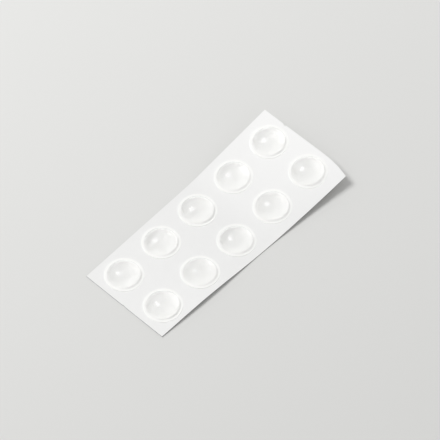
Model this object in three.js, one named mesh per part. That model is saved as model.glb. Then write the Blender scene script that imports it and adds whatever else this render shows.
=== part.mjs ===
// Clear self-adhesive cabinet door bumpers on their release liner. Units: mm.
// +X runs from the near end to the far end, +Y to the left long edge, +Z up.
import * as THREE from "three";

// Layout of the bumpers.
const COLUMNS = 5;
const ROWS = 2;

// Bumper: the top of an ellipsoid, cut off where it has RIM_SHARE of its full width.
const DOME_DIAMETER = 9.7;
const DOME_HEIGHT = 2.9;
const RIM_SHARE = 0.88;

// Adhesive film under each bumper, which it stands out from by ADHESIVE_MARGIN all round.
const ADHESIVE_MARGIN = 0.75;
const ADHESIVE_DIAMETER = DOME_DIAMETER + 2 * ADHESIVE_MARGIN;
const ADHESIVE_THICKNESS = 0.15;

// Release liner: a square cell for each bumper, wider than its film by CELL_MARGIN all round.
const CELL_MARGIN = 1.9;
const PITCH = ADHESIVE_DIAMETER + 2 * CELL_MARGIN;
const LINER_LENGTH = COLUMNS * PITCH;
const LINER_WIDTH = ROWS * PITCH;
const LINER_THICKNESS = 0.2;
const BOND_GAP = 0.03;

// The far CURL_LENGTH of the liner curls up, to its full slope over CURL_RUN.
const CURL_LENGTH = 35;
const CURL_RUN = 7;
const CURL_SLOPE = 0.122;

// Along the right long edge, a strip of the curl folds back down by FOLD_SHARE of its height,
// but towards the far corner it rises again, by CORNER_LIFT there.
const FOLD_WIDTH = 11;
const FOLD_SHARE = 0.55;
const CORNER_LIFT = 1.7;

// A shallow ripple along the right long edge, its crest RIPPLE_PLACE from the near end.
const RIPPLE_HEIGHT = 0.85;
const RIPPLE_PLACE = 17;
const RIPPLE_REACH = 22.5;
const RIPPLE_WIDTH = 22;

// The liner is cut out of square: how far each long edge stands out past the cells, at each end.
const NEAR_OVERHANG = { left: -0.1, right: -0.8 };
const FAR_OVERHANG = { left: 0.8, right: 1.55 };

// Its far edge is cut FAR_TRIM short of the cells, and curves in at its right corner.
const FAR_TRIM = 0.3;
const CORNER_CUT = 1.2;
const CORNER_WIDTH = 8;

// Small nicks in the far (+1) and near (-1) short edges, placed from the left long edge.
const NICK_WIDTH = 0.9;
const NICKS = [
  { end: 1, place: 7.4, depth: 0.5 },
  { end: -1, place: 14.4, depth: 0.25 },
];

// Mesh fineness.
const SECTORS = 24;
const LINER_CELL = 2.5;
const LEAST_CELL = 0.2;
const RING_SHARES = [1 / 2, 1];
const CAP_STEPS = 6;
const SLOPE_STEP = 1e-4;

const ADHESIVE_BASE = LINER_THICKNESS + BOND_GAP;
const DOME_BASE = ADHESIVE_BASE + ADHESIVE_THICKNESS + BOND_GAP;

/** Height of the liner's underside over the surface it lies on. */
function lift(x, y) {
  const run = Math.max(0, x - (LINER_LENGTH / 2 - CURL_LENGTH));
  const curl = run < CURL_RUN
    ? (CURL_SLOPE * run * run) / (2 * CURL_RUN)
    : CURL_SLOPE * (run - CURL_RUN / 2);
  const fromRight = y + LINER_WIDTH / 2;
  const fold = Math.max(0, 1 - fromRight / FOLD_WIDTH) ** 2;
  const along = Math.min(1, Math.abs(x + LINER_LENGTH / 2 - RIPPLE_PLACE) / RIPPLE_REACH);
  const across = Math.max(0, 1 - fromRight / RIPPLE_WIDTH) ** 2;
  const ripple = RIPPLE_HEIGHT * Math.cos((along * Math.PI) / 2) ** 2 * across;
  const corner = CORNER_LIFT * (run / CURL_LENGTH) ** 2 * fold;
  return curl * (1 - FOLD_SHARE * fold) + corner + ripple;
}

/** Point at height w over the underside of the bent liner. */
function bent(x, y, w) {
  const slopeX = (lift(x + SLOPE_STEP, y) - lift(x - SLOPE_STEP, y)) / (2 * SLOPE_STEP);
  const slopeY = (lift(x, y + SLOPE_STEP) - lift(x, y - SLOPE_STEP)) / (2 * SLOPE_STEP);
  const normal = new THREE.Vector3(-slopeX, -slopeY, 1).normalize();
  return new THREE.Vector3(x, y, lift(x, y)).addScaledVector(normal, w);
}

/** Evenly spaced values from -half to +half, with extra ones between. */
function samples(half, cell, extra = []) {
  const count = Math.ceil((2 * half) / cell);
  const even = Array.from({ length: count + 1 }, (_, i) => -half + (2 * half * i) / count);
  const kept = even.filter((value) => extra.every((other) => Math.abs(value - other) > LEAST_CELL));
  return [...kept, ...extra].sort((a, b) => a - b);
}

/** Indexed geometry from a list of points and a list of triangles. */
function geometryOf(points, triangles) {
  const geometry = new THREE.BufferGeometry();
  geometry.setAttribute("position", new THREE.Float32BufferAttribute(points.flatMap((p) => p.toArray()), 3));
  geometry.setIndex(triangles.flat());
  geometry.computeVertexNormals();
  return geometry;
}

/** Point of the cut liner, at height w, that its square layout has at x and y. */
function cutPoint(x, y, w) {
  const share = x / LINER_LENGTH + 1 / 2;
  const side = y > 0 ? "left" : "right";
  const overhang = NEAR_OVERHANG[side] + share * (FAR_OVERHANG[side] - NEAR_OVERHANG[side]);
  const corner = Math.max(0, 1 - (y + LINER_WIDTH / 2) / CORNER_WIDTH) ** 2;
  const trim = share * (FAR_TRIM + CORNER_CUT * corner);
  return bent(x - trim, y * (1 + (2 * overhang) / LINER_WIDTH), w);
}

/** Across position of a nick. */
function nickY(nick) {
  return LINER_WIDTH / 2 - nick.place;
}

/** Inward shift of a short edge at y. */
function nickDepth(end, y) {
  const share = (nick) => Math.max(0, 1 - (2 * Math.abs(y - nickY(nick))) / NICK_WIDTH);
  return NICKS.filter((nick) => nick.end === end).reduce((sum, nick) => sum + nick.depth * share(nick), 0);
}

/** The liner: two grids of points, closed along its four edges. */
function linerGeometry() {
  const xs = samples(LINER_LENGTH / 2, LINER_CELL);
  const ys = samples(
    LINER_WIDTH / 2, LINER_CELL,
    NICKS.flatMap((nick) => [-1, 0, 1].map((side) => nickY(nick) + (side * NICK_WIDTH) / 2)),
  );
  const last = xs.length - 1;
  const left = ys.length - 1;
  const points = [0, LINER_THICKNESS].flatMap((w) => xs.flatMap((x, i) => ys.map((y) => {
    const end = i === last ? 1 : i === 0 ? -1 : 0;
    return cutPoint(x - end * nickDepth(end, y), y, w);
  })));
  const at = (top, i, j) => (top * xs.length + i) * ys.length + j;
  const triangles = [];
  const quad = (a, b, c, d) => triangles.push([a, b, c], [a, c, d]);
  for (let i = 0; i < last; i += 1) {
    for (let j = 0; j < left; j += 1) {
      quad(at(1, i, j), at(1, i + 1, j), at(1, i + 1, j + 1), at(1, i, j + 1));
      quad(at(0, i, j), at(0, i, j + 1), at(0, i + 1, j + 1), at(0, i + 1, j));
    }
    quad(at(0, i, 0), at(0, i + 1, 0), at(1, i + 1, 0), at(1, i, 0));
    quad(at(1, i, left), at(1, i + 1, left), at(0, i + 1, left), at(0, i, left));
  }
  for (let j = 0; j < left; j += 1) {
    quad(at(0, 0, j), at(1, 0, j), at(1, 0, j + 1), at(0, 0, j + 1));
    quad(at(0, last, j), at(0, last, j + 1), at(1, last, j + 1), at(1, last, j));
  }
  return geometryOf(points, triangles);
}

/** A round body on the bent liner: rings of [radius, height] from the centre of its foot to its top. */
function roundGeometry(centre, foot, rings, top) {
  const points = [bent(centre.x, centre.y, foot)];
  for (const [radius, w] of rings) {
    for (let k = 0; k < SECTORS; k += 1) {
      const angle = (2 * Math.PI * k) / SECTORS;
      points.push(bent(centre.x + radius * Math.cos(angle), centre.y + radius * Math.sin(angle), w));
    }
  }
  points.push(bent(centre.x, centre.y, top));
  const crown = points.length - 1;
  const at = (ring, k) => 1 + ring * SECTORS + (k % SECTORS);
  const triangles = [];
  for (let k = 0; k < SECTORS; k += 1) {
    triangles.push([0, at(0, k + 1), at(0, k)]);
    for (let ring = 0; ring < rings.length - 1; ring += 1) {
      triangles.push([at(ring, k), at(ring, k + 1), at(ring + 1, k + 1)]);
      triangles.push([at(ring, k), at(ring + 1, k + 1), at(ring + 1, k)]);
    }
    triangles.push([crown, at(rings.length - 1, k), at(rings.length - 1, k + 1)]);
  }
  return geometryOf(points, triangles);
}

/** The adhesive film under one bumper. */
function adhesiveGeometry(centre) {
  const radius = ADHESIVE_DIAMETER / 2;
  const top = ADHESIVE_BASE + ADHESIVE_THICKNESS;
  const under = RING_SHARES.map((share) => [radius * share, ADHESIVE_BASE]);
  const over = RING_SHARES.map((share) => [radius * share, top]).reverse();
  return roundGeometry(centre, ADHESIVE_BASE, [...under, ...over], top);
}

/** One bumper: a flat foot under the cut ellipsoid. */
function domeGeometry(centre) {
  const radius = DOME_DIAMETER / 2;
  const halfWidth = radius / RIM_SHARE;
  const rimAngle = Math.asin(RIM_SHARE);
  const halfHeight = DOME_HEIGHT / (1 - Math.cos(rimAngle));
  const under = RING_SHARES.map((share) => [radius * share, DOME_BASE]);
  const cap = Array.from({ length: CAP_STEPS - 1 }, (_, i) => {
    const angle = rimAngle * (1 - (i + 1) / CAP_STEPS);
    return [halfWidth * Math.sin(angle), DOME_BASE + DOME_HEIGHT - halfHeight * (1 - Math.cos(angle))];
  });
  return roundGeometry(centre, DOME_BASE, [...under, ...cap], DOME_BASE + DOME_HEIGHT);
}

const linerMaterial = new THREE.MeshStandardMaterial({
  name: "coated_paper", color: 0xf4f4f1, roughness: 0.3,
});
const adhesiveMaterial = new THREE.MeshStandardMaterial({
  name: "clear_adhesive", color: 0xf2f3f1, roughness: 0.15, transparent: true, opacity: 0.4,
});
const domeMaterial = new THREE.MeshStandardMaterial({
  name: "clear_polyurethane", color: 0xe9ebe9, roughness: 0.05, transparent: true, opacity: 0.5,
});

const group = new THREE.Group();
group.name = "cabinet_door_bumper_sheet";

function add(name, geometry, material) {
  const mesh = new THREE.Mesh(geometry, material);
  mesh.name = name;
  group.add(mesh);
}

add("release_liner", linerGeometry(), linerMaterial);
for (let row = 0; row < ROWS; row += 1) {
  for (let column = 0; column < COLUMNS; column += 1) {
    const centre = { x: (column - (COLUMNS - 1) / 2) * PITCH, y: ((ROWS - 1) / 2 - row) * PITCH };
    const number = String(row * COLUMNS + column + 1).padStart(2, "0");
    add(`adhesive_disc_${number}`, adhesiveGeometry(centre), adhesiveMaterial);
    add(`bumper_${number}`, domeGeometry(centre), domeMaterial);
  }
}

export default group;
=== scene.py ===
"""Clear self-adhesive cabinet door bumpers in two rows on their white release liner.

Sizes in the classes are in millimetres and turn to metres as a mesh is finished.
+X runs from the near end of the sheet to its far end, +Y to its left long edge, +Z up.
"""

import logging
import math
from collections.abc import Callable
from dataclasses import dataclass, field
from enum import Enum

import bpy
from mathutils import Matrix, Vector


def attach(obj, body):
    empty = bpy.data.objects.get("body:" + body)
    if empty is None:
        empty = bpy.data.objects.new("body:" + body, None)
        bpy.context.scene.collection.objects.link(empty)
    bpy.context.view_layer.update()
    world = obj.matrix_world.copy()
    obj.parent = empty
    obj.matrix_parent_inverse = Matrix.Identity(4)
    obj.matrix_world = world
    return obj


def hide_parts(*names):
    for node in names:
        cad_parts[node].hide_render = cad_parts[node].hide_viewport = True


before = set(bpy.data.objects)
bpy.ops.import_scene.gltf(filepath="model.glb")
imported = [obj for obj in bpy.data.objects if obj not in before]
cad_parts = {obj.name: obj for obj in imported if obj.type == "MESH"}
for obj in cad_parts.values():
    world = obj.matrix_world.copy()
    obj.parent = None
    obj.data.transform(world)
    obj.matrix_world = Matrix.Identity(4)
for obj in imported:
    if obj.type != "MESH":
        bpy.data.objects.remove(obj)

log = logging.getLogger("bumper_sheet")

MM = 0.001
IMAGE_SIDE = 440

# A face is level where its normal's upright part is more than this.
LEVEL_FACE = 0.9

# Painted sheen: the sheet is painted paler from one of these places on X to the other, for the light that
# its curled far end catches.
PAINTED_SHEEN_FROM = 5.0
PAINTED_SHEEN_TO = 36.0


class Slot(Enum):
    """The record's material slots."""

    PAPER = "coated_paper"
    ADHESIVE = "clear_adhesive"
    DOME = "clear_polyurethane"


class End(Enum):
    """The two short edges of the liner, by the sign of their place on X."""

    NEAR = -1
    FAR = 1


def linear(colour: str) -> tuple[float, float, float, float]:
    """Turns an sRGB hex colour to the linear values that a shader takes.

    Args:
        colour: six hex digits after a hash sign.

    Returns:
        Linear red, green and blue, and full alpha.
    """
    channels = (int(colour[i:i + 2], 16) / 255 for i in (1, 3, 5))
    red, green, blue = (c / 12.92 if c <= 0.04045 else ((c + 0.055) / 1.055) ** 2.4 for c in channels)
    return red, green, blue, 1.0


def add_node(tree: bpy.types.NodeTree, kind: str, settings: dict | None = None,
             values: dict | None = None, links: dict | None = None) -> bpy.types.Node:
    """Adds a shader node.

    Args:
        tree: the node tree that the node goes into.
        kind: the node's type name.
        settings: properties of the node itself.
        values: values for its input sockets, by name or number.
        links: output sockets to plug into its input sockets, by name or number.

    Returns:
        The new node.
    """
    node = tree.nodes.new(kind)
    for name, value in (settings or {}).items():
        setattr(node, name, value)
    for name, value in (values or {}).items():
        node.inputs[name].default_value = value
    for name, socket in (links or {}).items():
        tree.links.new(socket, node.inputs[name])
    return node


def new_material(name: str) -> tuple[bpy.types.Material, bpy.types.NodeTree]:
    """Makes an empty node material.

    Args:
        name: the material's name.

    Returns:
        The material and its node tree.
    """
    material = bpy.data.materials.new(name)
    material.use_nodes = True
    material.node_tree.nodes.clear()
    return material, material.node_tree


def paint_sheen_towards_far_end(tree: bpy.types.NodeTree, place: bpy.types.Node, colour: bpy.types.NodeSocket,
                         far_painted_light_colour: str) -> bpy.types.NodeSocket:
    """Paints sheen into a colour: makes it paler over the curled far end of the sheet, where the curl
    catches more light.

    Args:
        tree: the node tree of the material.
        place: its texture coordinate node.
        colour: the colour away from the far end.
        far_painted_light_colour: sRGB hex colour at the far edge.

    Returns:
        The socket that gives the colour.
    """
    along = add_node(tree, "ShaderNodeSeparateXYZ", links={"Vector": place.outputs["Object"]})
    share = add_node(
        tree, "ShaderNodeMapRange",
        values={"From Min": PAINTED_SHEEN_FROM * MM, "From Max": PAINTED_SHEEN_TO * MM}, links={"Value": along.outputs["X"]},
    )
    painted_sheen = add_node(
        tree, "ShaderNodeMix", {"data_type": "RGBA"}, {7: linear(far_painted_light_colour)},
        {0: share.outputs["Result"], 6: colour},
    )
    return painted_sheen.outputs[2]


def deselect_all() -> None:
    """Leaves object mode with nothing selected."""
    if bpy.context.object and bpy.context.object.mode != "OBJECT":
        bpy.ops.object.mode_set(mode="OBJECT")
    bpy.ops.object.select_all(action="DESELECT")


def select_faces(piece: bpy.types.Object, chosen: Callable[[bpy.types.MeshPolygon], bool]) -> None:
    """Selects the faces of a piece that a test picks, and opens it in edit mode.

    Args:
        piece: the object to edit.
        chosen: a function of a polygon that says whether it is selected.
    """
    bpy.ops.object.mode_set(mode="EDIT")
    bpy.ops.mesh.select_all(action="DESELECT")
    bpy.ops.mesh.select_mode(type="FACE")
    bpy.ops.object.mode_set(mode="OBJECT")
    for polygon in piece.data.polygons:
        polygon.select = bool(chosen(polygon))
    bpy.ops.object.mode_set(mode="EDIT")


def apply_modifier(piece: bpy.types.Object, kind: str, **settings: object) -> None:
    """Adds a modifier to a piece and applies it.

    Args:
        piece: the object, which becomes the active one.
        kind: the modifier's type name.
        **settings: the modifier's properties.
    """
    bpy.context.view_layer.objects.active = piece
    modifier = piece.modifiers.new(kind.title(), kind)
    for name, value in settings.items():
        setattr(modifier, name, value)
    bpy.ops.object.modifier_apply(modifier=modifier.name)


@dataclass(frozen=True)
class SheetForm:
    """The bent form in which the liner lies, with all that is stuck to it.

    The far end curls up over curl_length. Along the right long edge a strip of the curl folds back down
    and rises again towards the far corner. Nearer the near end, that edge has a shallow ripple.
    """

    columns: int = 5
    rows: int = 2
    pitch: float = 15.0
    curl_length: float = 35.0
    curl_run: float = 7.0
    curl_slope: float = 0.122
    fold_width: float = 11.0
    fold_share: float = 0.55
    corner_lift: float = 1.7
    ripple_height: float = 0.85
    ripple_place: float = 17.0
    ripple_reach: float = 22.5
    ripple_width: float = 22.0
    slope_step: float = 1e-3

    @property
    def length(self) -> float:
        """Length of the cells together."""
        return self.columns * self.pitch

    @property
    def width(self) -> float:
        """Width of the cells together."""
        return self.rows * self.pitch

    def centres(self) -> list[tuple[int, float, float]]:
        """Gives each bumper's number and the centre of its cell.

        Returns:
            A list of number, x and y, the left row first, each from the near end.
        """
        return [
            (
                row * self.columns + column + 1,
                (column - (self.columns - 1) / 2) * self.pitch,
                ((self.rows - 1) / 2 - row) * self.pitch,
            )
            for row in range(self.rows)
            for column in range(self.columns)
        ]

    def lift(self, x: float, y: float) -> float:
        """Works out how high the liner's underside is over the floor.

        Args:
            x: place along the sheet.
            y: place across it.

        Returns:
            The height.
        """
        run = max(0.0, x - (self.length / 2 - self.curl_length))
        if run < self.curl_run:
            curl = self.curl_slope * run * run / (2 * self.curl_run)
        else:
            curl = self.curl_slope * (run - self.curl_run / 2)
        from_right = y + self.width / 2
        fold = max(0.0, 1 - from_right / self.fold_width) ** 2
        along = min(1.0, abs(x + self.length / 2 - self.ripple_place) / self.ripple_reach)
        across = max(0.0, 1 - from_right / self.ripple_width) ** 2
        ripple = self.ripple_height * math.cos(along * math.pi / 2) ** 2 * across
        corner = self.corner_lift * (run / self.curl_length) ** 2 * fold
        return curl * (1 - self.fold_share * fold) + corner + ripple

    def bent(self, x: float, y: float, above: float) -> Vector:
        """Carries a point of the flat layout onto the bent sheet.

        Args:
            x: place along the flat sheet.
            y: place across it.
            above: height over the liner's underside.

        Returns:
            The point in metres.
        """
        step = self.slope_step
        slope_x = (self.lift(x + step, y) - self.lift(x - step, y)) / (2 * step)
        slope_y = (self.lift(x, y + step) - self.lift(x, y - step)) / (2 * step)
        normal = Vector((-slope_x, -slope_y, 1)).normalized()
        return (Vector((x, y, self.lift(x, y))) + normal * above) * MM

    def bend(self, piece: bpy.types.Object, x: float = 0.0, y: float = 0.0) -> None:
        """Moves a flat piece, in millimetres about its own centre, onto the bent sheet.

        Args:
            piece: the object whose mesh is moved.
            x: where its centre goes along the sheet.
            y: where its centre goes across it.
        """
        for vertex in piece.data.vertices:
            vertex.co = self.bent(vertex.co.x + x, vertex.co.y + y, vertex.co.z)
        piece.data.update()


@dataclass(frozen=True)
class CoatedPaper:
    """Silicone-coated white release paper: a smooth glossy face over faintly cloudy, short-fibred paper.

    The clouds are the paper's uneven fibre, and the cockle is the slight waviness of a sheet that was bent.
    Its curled far end is painted paler, as painted sheen.
    """

    colour: str = "#EFEFEE"
    cloud_colour: str = "#ECECEB"
    # Painted sheen: the colour at the far edge, paler for the light that the curl catches.
    far_painted_light_colour: str = "#F6F6F5"
    cloud_size: float = 2.2
    cloud_detail: float = 4.0
    cloud_breakup: float = 0.6
    roughness: float = 0.38
    sheen_spread: float = 0.05
    ior: float = 1.45
    cockle_size: float = 9.0
    cockle_height: float = 0.02

    def material(self) -> bpy.types.Material:
        """Builds the shader.

        Returns:
            The material.
        """
        material, tree = new_material("silicone_coated_paper")
        place = add_node(tree, "ShaderNodeTexCoord")
        clouds = add_node(
            tree, "ShaderNodeTexNoise",
            values={"Scale": 1 / (self.cloud_size * MM), "Detail": self.cloud_detail,
                    "Roughness": self.cloud_breakup},
            links={"Vector": place.outputs["Object"]},
        )
        tint = add_node(
            tree, "ShaderNodeMix", {"data_type": "RGBA"},
            {6: linear(self.colour), 7: linear(self.cloud_colour)}, {0: clouds.outputs["Fac"]},
        )
        gloss = add_node(
            tree, "ShaderNodeMapRange",
            values={"To Min": self.roughness, "To Max": self.roughness + self.sheen_spread},
            links={"Value": clouds.outputs["Fac"]},
        )
        cockle = add_node(
            tree, "ShaderNodeTexNoise",
            values={"Scale": 1 / (self.cockle_size * MM), "Detail": 1.0},
            links={"Vector": place.outputs["Object"]},
        )
        bump = add_node(
            tree, "ShaderNodeBump", values={"Strength": 1.0, "Distance": self.cockle_height * MM},
            links={"Height": cockle.outputs["Fac"]},
        )
        shader = add_node(
            tree, "ShaderNodeBsdfPrincipled", values={"IOR": self.ior},
            links={"Base Color": paint_sheen_towards_far_end(tree, place, tint.outputs[2], self.far_painted_light_colour),
                   "Roughness": gloss.outputs["Result"], "Normal": bump.outputs["Normal"]},
        )
        add_node(tree, "ShaderNodeOutputMaterial", links={"Surface": shader.outputs["BSDF"]})
        return material


@dataclass(frozen=True)
class CutPaperAndGapShadow:
    """Raw edge where the paper was cut: matt and greyer than the coating, and darkened further as painted
    shadow of the thin gap under the sheet's edge; a little darker in places.
    """

    # Partly painted shadow: these greys are darker than raw paper, to stand in for the shadow line under
    # the sheet's edge.
    colour: str = "#8E8E8C"
    dark_colour: str = "#50504E"
    patch_size: float = 5.0
    patch_detail: float = 3.0
    roughness: float = 0.8

    def material(self) -> bpy.types.Material:
        """Builds the shader.

        Returns:
            The material.
        """
        material, tree = new_material("cut_paper_and_gap_shadow")
        place = add_node(tree, "ShaderNodeTexCoord")
        patches = add_node(
            tree, "ShaderNodeTexNoise",
            values={"Scale": 1 / (self.patch_size * MM), "Detail": self.patch_detail},
            links={"Vector": place.outputs["Object"]},
        )
        tint = add_node(
            tree, "ShaderNodeMix", {"data_type": "RGBA"},
            {6: linear(self.colour), 7: linear(self.dark_colour)}, {0: patches.outputs["Fac"]},
        )
        shader = add_node(
            tree, "ShaderNodeBsdfPrincipled", values={"Roughness": self.roughness},
            links={"Base Color": tint.outputs[2]},
        )
        add_node(tree, "ShaderNodeOutputMaterial", links={"Surface": shader.outputs["BSDF"]})
        return material


@dataclass(frozen=True)
class AdhesiveFilm:
    """Acrylic adhesive film: a thin water-clear layer with a bright rounded edge, which casts no shadow.

    It is paler than the paper that shows through it, and its grain makes its gloss a little uneven. Its far
    end is painted paler, as painted sheen on the curl.
    """

    colour: str = "#FAFAF8"
    faint_colour: str = "#F8F8F6"
    # Painted sheen: the film's colour at the far edge of the curled sheet.
    far_painted_light_colour: str = "#FDFDFB"
    roughness: float = 0.2
    gloss_spread: float = 0.08
    grain_size: float = 0.8
    grain_detail: float = 2.0
    ior: float = 1.47
    specular_level: float = 0.3

    def material(self) -> bpy.types.Material:
        """Builds the shader.

        Returns:
            The material.
        """
        material, tree = new_material("acrylic_adhesive")
        place = add_node(tree, "ShaderNodeTexCoord")
        grain = add_node(
            tree, "ShaderNodeTexNoise",
            values={"Scale": 1 / (self.grain_size * MM), "Detail": self.grain_detail},
            links={"Vector": place.outputs["Object"]},
        )
        gloss = add_node(
            tree, "ShaderNodeMapRange",
            values={"To Min": self.roughness, "To Max": self.roughness + self.gloss_spread},
            links={"Value": grain.outputs["Fac"]},
        )
        tint = add_node(
            tree, "ShaderNodeMix", {"data_type": "RGBA"},
            {6: linear(self.colour), 7: linear(self.faint_colour)}, {0: grain.outputs["Fac"]},
        )
        shader = add_node(
            tree, "ShaderNodeBsdfPrincipled",
            values={"IOR": self.ior, "Specular IOR Level": self.specular_level},
            links={"Base Color": paint_sheen_towards_far_end(tree, place, tint.outputs[2], self.far_painted_light_colour),
                   "Roughness": gloss.outputs["Result"]},
        )
        rays = add_node(tree, "ShaderNodeLightPath")
        lit_through = add_node(tree, "ShaderNodeBsdfTransparent")
        film = add_node(
            tree, "ShaderNodeMixShader",
            links={0: rays.outputs["Is Shadow Ray"], 1: shader.outputs["BSDF"],
                   2: lit_through.outputs["BSDF"]},
        )
        add_node(tree, "ShaderNodeOutputMaterial", links={"Surface": film.outputs["Shader"]})
        return material


@dataclass(frozen=True)
class CastPolyurethane:
    """Clear cast polyurethane: soft, water-clear and very glossy, with the faint waviness of a poured skin.

    A dome gathers the light of a lamp like a lens, away from the side that faces the lamp. So the light
    that it lets through is set by how squarely its skin meets it: a list of facing value and colour.
    The skin is a soft second gloss, which widens the highlight of the clear body.
    """

    colour: str = "#FFFFFF"
    let_through: tuple[tuple[float, str], ...] = (
        (0.03, "#949494"), (0.25, "#D2D2D2"), (0.5, "#FAFAFA"), (0.75, "#949494"),
    )
    roughness: float = 0.1
    ior: float = 1.45
    specular_tint: str = "#B0B0B0"
    skin_roughness: float = 0.38
    skin_ior: float = 1.4
    wave_size: float = 3.0
    wave_height: float = 0.001

    def material(self) -> bpy.types.Material:
        """Builds the shader.

        Returns:
            The material.
        """
        material, tree = new_material("cast_polyurethane")
        place = add_node(tree, "ShaderNodeTexCoord")
        waves = add_node(
            tree, "ShaderNodeTexNoise",
            values={"Scale": 1 / (self.wave_size * MM), "Detail": 1.0},
            links={"Vector": place.outputs["Object"]},
        )
        bump = add_node(
            tree, "ShaderNodeBump", values={"Strength": 1.0, "Distance": self.wave_height * MM},
            links={"Height": waves.outputs["Fac"]},
        )
        shader = add_node(
            tree, "ShaderNodeBsdfPrincipled",
            values={"Base Color": linear(self.colour), "Roughness": self.roughness, "IOR": self.ior,
                    "Specular Tint": linear(self.specular_tint), "Transmission Weight": 1.0,
                    "Coat Weight": 1.0, "Coat Roughness": self.skin_roughness, "Coat IOR": self.skin_ior},
            links={"Normal": bump.outputs["Normal"]},
        )
        rays = add_node(tree, "ShaderNodeLightPath")
        facing = add_node(tree, "ShaderNodeLayerWeight", values={"Blend": 0.5})
        gathered = add_node(tree, "ShaderNodeValToRGB", links={"Fac": facing.outputs["Facing"]})
        stops = gathered.color_ramp.elements
        while len(stops) < len(self.let_through):
            stops.new(1.0)
        for stop, (position, colour) in zip(stops, self.let_through):
            stop.position = position
            stop.color = linear(colour)
        lit_through = add_node(
            tree, "ShaderNodeBsdfTransparent", links={"Color": gathered.outputs["Color"]},
        )
        cast = add_node(
            tree, "ShaderNodeMixShader",
            links={0: rays.outputs["Is Shadow Ray"], 1: shader.outputs["BSDF"],
                   2: lit_through.outputs["BSDF"]},
        )
        add_node(tree, "ShaderNodeOutputMaterial", links={"Surface": cast.outputs["Shader"]})
        return material


@dataclass(frozen=True)
class PlainBoard:
    """Matt pale card under the sheet, painted a little paler away from the camera: the lamp's falloff
    painted into its colour.
    """

    # Painted light: the near colour is painted shade and the far colour painted light, for the lamp's
    # falloff across the card.
    near_painted_shade_colour: str = "#D9D9D7"
    far_painted_light_colour: str = "#E2E2E0"
    reach: float = 160.0
    roughness: float = 0.9

    def material(self, away: Vector) -> bpy.types.Material:
        """Builds the shader.

        Args:
            away: level direction from the camera to the object.

        Returns:
            The material.
        """
        material, tree = new_material("plain_board")
        place = add_node(tree, "ShaderNodeTexCoord")
        depth = add_node(
            tree, "ShaderNodeVectorMath", {"operation": "DOT_PRODUCT"}, {1: away},
            {0: place.outputs["Object"]},
        )
        share = add_node(
            tree, "ShaderNodeMapRange",
            values={"From Min": -self.reach * MM / 2, "From Max": self.reach * MM / 2},
            links={"Value": depth.outputs["Value"]},
        )
        tint = add_node(
            tree, "ShaderNodeMix", {"data_type": "RGBA"},
            {6: linear(self.near_painted_shade_colour), 7: linear(self.far_painted_light_colour)}, {0: share.outputs["Result"]},
        )
        shader = add_node(
            tree, "ShaderNodeBsdfPrincipled", values={"Roughness": self.roughness},
            links={"Base Color": tint.outputs[2]},
        )
        add_node(tree, "ShaderNodeOutputMaterial", links={"Surface": shader.outputs["BSDF"]})
        return material


@dataclass
class ReleaseLiner:
    """The release liner: cut a little out of square, one corner curved in, a small nick in each end.

    Overhangs past the cells are given for the left and then the right long edge. A nick is its place from
    the left long edge and its depth. A face is part of the cut edge where its normal is nearly level.
    """

    form: SheetForm
    thickness: float = 0.2
    cell: float = 0.5
    edge_round: float = 0.03
    edge_segments: int = 2
    edge_angle: float = 60.0
    smooth_angle: float = 20.0
    edge_normal: float = 0.8
    near_overhang: tuple[float, float] = (-0.1, -0.8)
    far_overhang: tuple[float, float] = (0.8, 1.55)
    far_trim: float = 0.3
    corner_cut: float = 1.2
    corner_width: float = 8.0
    nick_width: float = 0.9
    nicks: dict[End, tuple[float, float]] = field(
        default_factory=lambda: {End.FAR: (7.4, 0.5), End.NEAR: (14.4, 0.25)},
    )
    finish: CoatedPaper = CoatedPaper()
    edge_finish_and_shadow: CutPaperAndGapShadow = CutPaperAndGapShadow()

    def nick_depth(self, end: End, y: float) -> float:
        """Works out how far a short edge is cut in.

        Args:
            end: which short edge.
            y: place along that edge.

        Returns:
            The depth at y.
        """
        place, depth = self.nicks[end]
        off = abs(y - (self.form.width / 2 - place))
        return depth * max(0.0, 1 - 2 * off / self.nick_width)

    def cut(self, x: float, y: float) -> tuple[float, float]:
        """Carries a point of the square layout to the liner as it was cut.

        Args:
            x: place along the square layout.
            y: place across it.

        Returns:
            The point's place along and across the cut liner.
        """
        half = self.form.length / 2
        share = (x + half) / self.form.length
        side = 0 if y > 0 else 1
        overhang = self.near_overhang[side] * (1 - share) + self.far_overhang[side] * share
        for end in End:
            if math.isclose(x, end.value * half, abs_tol=self.cell / 10):
                x -= end.value * self.nick_depth(end, y)
        corner = max(0.0, 1 - (y + self.form.width / 2) / self.corner_width) ** 2
        trim = share * (self.far_trim + self.corner_cut * corner)
        return x - trim, y * (1 + 2 * overhang / self.form.width)

    def build(self) -> bpy.types.Object:
        """Models the liner: a fine grid, cut and bent, then given its thickness and a softened edge.

        Returns:
            The finished piece.
        """
        deselect_all()
        bpy.ops.mesh.primitive_grid_add(
            x_subdivisions=round(self.form.length / self.cell),
            y_subdivisions=round(self.form.width / self.cell), size=1,
        )
        piece = bpy.context.object
        piece.name = piece.data.name = "liner_sheet"
        bpy.ops.transform.resize(value=(self.form.length, self.form.width, 1))
        bpy.ops.object.transform_apply(scale=True)
        for vertex in piece.data.vertices:
            vertex.co.x, vertex.co.y = self.cut(vertex.co.x, vertex.co.y)
        self.form.bend(piece)
        apply_modifier(piece, "SOLIDIFY", thickness=self.thickness * MM, offset=1.0)
        apply_modifier(
            piece, "BEVEL", width=self.edge_round * MM, segments=self.edge_segments,
            limit_method="ANGLE", angle_limit=math.radians(self.edge_angle),
        )
        bpy.ops.object.shade_smooth_by_angle(angle=math.radians(self.smooth_angle))
        return piece

    def dress(self, piece: bpy.types.Object) -> None:
        """Gives the piece its finishes, one for its faces and one for its cut edge, which holds painted gap
        shadow, and its place.

        Args:
            piece: the finished liner.
        """
        piece.data.materials.append(self.finish.material())
        piece.data.materials.append(self.edge_finish_and_shadow.material())
        for polygon in piece.data.polygons:
            polygon.material_index = int(abs(polygon.normal.z) < self.edge_normal)
        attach(piece, "root")
        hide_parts("release_liner")


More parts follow.
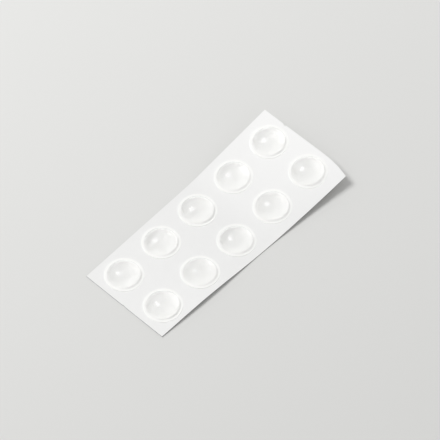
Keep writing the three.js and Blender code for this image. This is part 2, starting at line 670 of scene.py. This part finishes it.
@dataclass
class AdhesiveDiscs:
    """The adhesive films, one under each bumper and a little wider than it.

    Each is sunk a little into the liner, and fills the bonding room up to the foot of its dome.
    """

    form: SheetForm
    diameter: float = 11.2
    thickness: float = 0.15
    bond_room: float = 0.06
    seat: float = 0.2
    sunk: float = 0.02
    edge_round: float = 0.06
    edge_segments: int = 3
    edge_angle: float = 60.0
    smooth_angle: float = 30.0
    sectors: int = 96
    rings: int = 3
    finish: AdhesiveFilm = AdhesiveFilm()

    def model(self) -> bpy.types.Object:
        """Models one flat film about its own centre, in millimetres.

        Returns:
            The film.
        """
        deselect_all()
        depth = self.thickness + self.sunk + self.bond_room
        bpy.ops.mesh.primitive_cylinder_add(
            vertices=self.sectors, radius=self.diameter / 2, depth=depth,
            location=(0, 0, self.seat - self.sunk + depth / 2),
        )
        piece = bpy.context.object
        bpy.ops.object.transform_apply(location=True)
        select_faces(piece, lambda polygon: abs(polygon.normal.z) > LEVEL_FACE)
        bpy.ops.mesh.inset(thickness=2 * self.edge_round)
        for _ in range(self.rings):
            bpy.ops.mesh.inset(thickness=self.diameter / 2 / (self.rings + 1))
        bpy.ops.mesh.poke()
        bpy.ops.object.mode_set(mode="OBJECT")
        apply_modifier(
            piece, "BEVEL", width=self.edge_round, segments=self.edge_segments, limit_method="ANGLE",
            angle_limit=math.radians(self.edge_angle),
        )
        bpy.ops.object.shade_smooth_by_angle(angle=math.radians(self.smooth_angle))
        return piece

    def build(self) -> dict[int, bpy.types.Object]:
        """Copies the film to each cell and bends it onto the liner.

        Returns:
            The pieces, by their numbers.
        """
        return copy_to_cells(self.model(), self.form, "adhesive_film")

    def dress(self, pieces: dict[int, bpy.types.Object]) -> None:
        """Gives the pieces their finish and their places in the frame."""
        dress_copies(pieces, self.finish.material(), "adhesive_disc")


@dataclass
class Bumpers:
    """The clear domes: tops of ellipsoids, sunk a little into their films so that no air lies between."""

    form: SheetForm
    diameter: float = 9.7
    height: float = 2.9
    rim_share: float = 0.88
    seat: float = 0.41
    sunk: float = 0.06
    smooth_angle: float = 30.0
    sectors: int = 96
    rings: int = 160
    foot_rings: int = 3
    finish: CastPolyurethane = CastPolyurethane()

    def model(self) -> bpy.types.Object:
        """Models one dome about its own centre, in millimetres.

        Returns:
            The dome.
        """
        deselect_all()
        half_width = self.diameter / 2 / self.rim_share
        half_height = self.height / (1 - math.sqrt(1 - self.rim_share ** 2))
        bpy.ops.mesh.primitive_uv_sphere_add(
            segments=self.sectors, ring_count=self.rings, radius=half_width,
            location=(0, 0, self.seat + self.height - half_height),
            scale=(1, 1, half_height / half_width),
        )
        piece = bpy.context.object
        bpy.ops.object.transform_apply(location=True, scale=True)
        bpy.ops.object.mode_set(mode="EDIT")
        bpy.ops.mesh.select_all(action="SELECT")
        bpy.ops.mesh.bisect(
            plane_co=(0, 0, self.seat), plane_no=(0, 0, 1), use_fill=True, clear_inner=True,
        )
        bpy.ops.object.mode_set(mode="OBJECT")
        select_faces(piece, lambda polygon: polygon.normal.z < -LEVEL_FACE)
        bpy.ops.mesh.extrude_region_move(TRANSFORM_OT_translate={"value": (0, 0, -self.sunk)})
        for _ in range(self.foot_rings):
            bpy.ops.mesh.inset(thickness=self.diameter / 2 / (self.foot_rings + 1))
        bpy.ops.mesh.poke()
        bpy.ops.mesh.select_all(action="SELECT")
        bpy.ops.mesh.normals_make_consistent(inside=False)
        bpy.ops.object.mode_set(mode="OBJECT")
        bpy.ops.object.shade_smooth_by_angle(angle=math.radians(self.smooth_angle))
        return piece

    def build(self) -> dict[int, bpy.types.Object]:
        """Copies the dome to each cell and bends its foot onto the liner.

        Returns:
            The pieces, by their numbers.
        """
        return copy_to_cells(self.model(), self.form, "dome")

    def dress(self, pieces: dict[int, bpy.types.Object]) -> None:
        """Gives the pieces their finish and their places in the frame."""
        dress_copies(pieces, self.finish.material(), "bumper")


def copy_to_cells(model: bpy.types.Object, form: SheetForm, name: str) -> dict[int, bpy.types.Object]:
    """Copies a flat model to the centre of each cell, with a mesh of its own, and bends it there.

    Args:
        model: the piece about its own centre, in millimetres, which is removed.
        form: the bent sheet.
        name: the copies' name, before their number.

    Returns:
        The copies, by their numbers.
    """
    pieces = {}
    for number, x, y in form.centres():
        deselect_all()
        model.select_set(True)
        bpy.context.view_layer.objects.active = model
        bpy.ops.object.duplicate()
        piece = bpy.context.object
        piece.name = piece.data.name = f"{name}_{number:02d}"
        form.bend(piece, x, y)
        pieces[number] = piece
    bpy.data.objects.remove(model)
    return pieces


def dress_copies(pieces: dict[int, bpy.types.Object], material: bpy.types.Material, node: str) -> None:
    """Gives numbered pieces one finish and puts each in place of its CAD node.

    Args:
        pieces: the pieces, by their numbers.
        material: the finish that they share.
        node: the CAD nodes' name, before their number.
    """
    for number, piece in pieces.items():
        piece.data.materials.append(material)
        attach(piece, "root")
        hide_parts(f"{node}_{number:02d}")


@dataclass
class Studio:
    """The floor, the soft light and the camera at the photograph's angle.

    Turns and elevations are in degrees, and centre_pixel is where the sheet's origin falls in the frame.
    """

    turn: float = 47.86
    elevation: float = 55.6
    roll: float = 0.9
    pixels_per_mm: float = 3.541
    distance: float = 794.0
    centre_pixel: tuple[float, float] = (217.1, 225.8)
    sensor: float = 36.0
    clip_range: tuple[float, float] = (0.01, 20.0)
    floor_side: float = 3000.0
    lamp_turn: float = 119.0
    lamp_elevation: float = 54.0
    lamp_distance: float = 1000.0
    lamp_size: float = 460.0
    lamp_power: float = 6.0
    wall_strength: float = 0.47
    ceiling_strength: float = 0.57
    board: PlainBoard = PlainBoard()

    def axes(self) -> tuple[Vector, Vector, Vector]:
        """Works out the camera's axes.

        Returns:
            Its right, its up and the direction back from the object to it.
        """
        turn, rise = math.radians(self.turn), math.radians(self.elevation)
        right = Vector((math.cos(turn), -math.sin(turn), 0))
        away = Vector((math.sin(turn), math.cos(turn), 0))
        back = -away * math.cos(rise) + Vector((0, 0, math.sin(rise)))
        tilt = Matrix.Rotation(math.radians(self.roll), 3, back)
        return tilt @ right, tilt @ back.cross(right), back

    def add_camera(self) -> bpy.types.Object:
        """Adds the camera, aimed so that the sheet's origin falls on its pixel of the photograph.

        Returns:
            The camera.
        """
        right, up, back = self.axes()
        across = (IMAGE_SIDE / 2 - self.centre_pixel[0]) / self.pixels_per_mm
        rise = (self.centre_pixel[1] - IMAGE_SIDE / 2) / self.pixels_per_mm
        aim = right * across + up * rise
        bpy.ops.object.camera_add()
        camera = bpy.context.object
        camera.name = "camera"
        camera.data.sensor_width = self.sensor
        camera.data.lens = self.pixels_per_mm * self.distance * self.sensor / IMAGE_SIDE
        camera.data.clip_start, camera.data.clip_end = self.clip_range
        turn = Matrix((right, up, back)).transposed().to_4x4()
        camera.matrix_world = Matrix.Translation((aim + back * self.distance) * MM) @ turn
        bpy.context.scene.camera = camera
        return camera

    def add_floor(self) -> bpy.types.Object:
        """Adds the floor that the sheet lies on.

        Returns:
            The floor.
        """
        deselect_all()
        bpy.ops.mesh.primitive_plane_add(size=self.floor_side * MM)
        floor = bpy.context.object
        floor.name = "floor"
        turn = math.radians(self.turn)
        floor.data.materials.append(self.board.material(Vector((math.sin(turn), math.cos(turn), 0))))
        return floor

    def add_light(self) -> bpy.types.Object:
        """Adds one soft lamp high on the left, and a pale world, a little brighter overhead.

        Returns:
            The lamp.
        """
        turn, rise = math.radians(self.lamp_turn), math.radians(self.lamp_elevation)
        toward = Vector((math.cos(turn) * math.cos(rise), math.sin(turn) * math.cos(rise), math.sin(rise)))
        bpy.ops.object.light_add(type="AREA", location=toward * self.lamp_distance * MM)
        lamp = bpy.context.object
        lamp.name = "soft_lamp"
        lamp.rotation_euler = toward.to_track_quat("Z", "Y").to_euler()
        lamp.data.shape = "DISK"
        lamp.data.size = self.lamp_size * MM
        lamp.data.energy = self.lamp_power
        world = bpy.data.worlds.new("pale_room")
        bpy.context.scene.world = world
        world.use_nodes = True
        tree = world.node_tree
        direction = add_node(tree, "ShaderNodeTexCoord")
        height = add_node(tree, "ShaderNodeSeparateXYZ", links={"Vector": direction.outputs["Generated"]})
        level = add_node(
            tree, "ShaderNodeMapRange",
            values={"To Min": self.wall_strength, "To Max": self.ceiling_strength},
            links={"Value": height.outputs["Z"]},
        )
        background = tree.nodes["Background"]
        background.inputs["Color"].default_value = (1, 1, 1, 1)
        tree.links.new(level.outputs["Result"], background.inputs["Strength"])
        return lamp


def main() -> None:
    """Builds the sheet and its studio."""
    logging.basicConfig(level=logging.INFO, format="%(name)s: %(message)s")
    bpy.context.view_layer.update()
    bpy.context.scene.view_settings.view_transform = "Standard"
    studio = Studio()
    studio.add_camera()
    studio.add_floor()
    studio.add_light()

    form = SheetForm()
    liner = ReleaseLiner(form)
    liner_piece = liner.build()
    liner.dress(liner_piece)
    log.info("%s: %d faces", liner_piece.name, len(liner_piece.data.polygons))
    for part in (AdhesiveDiscs(form), Bumpers(form)):
        pieces = part.build()
        part.dress(pieces)
        for piece in pieces.values():
            log.info("%s: %d faces", piece.name, len(piece.data.polygons))


if __name__ == "__main__":
    main()
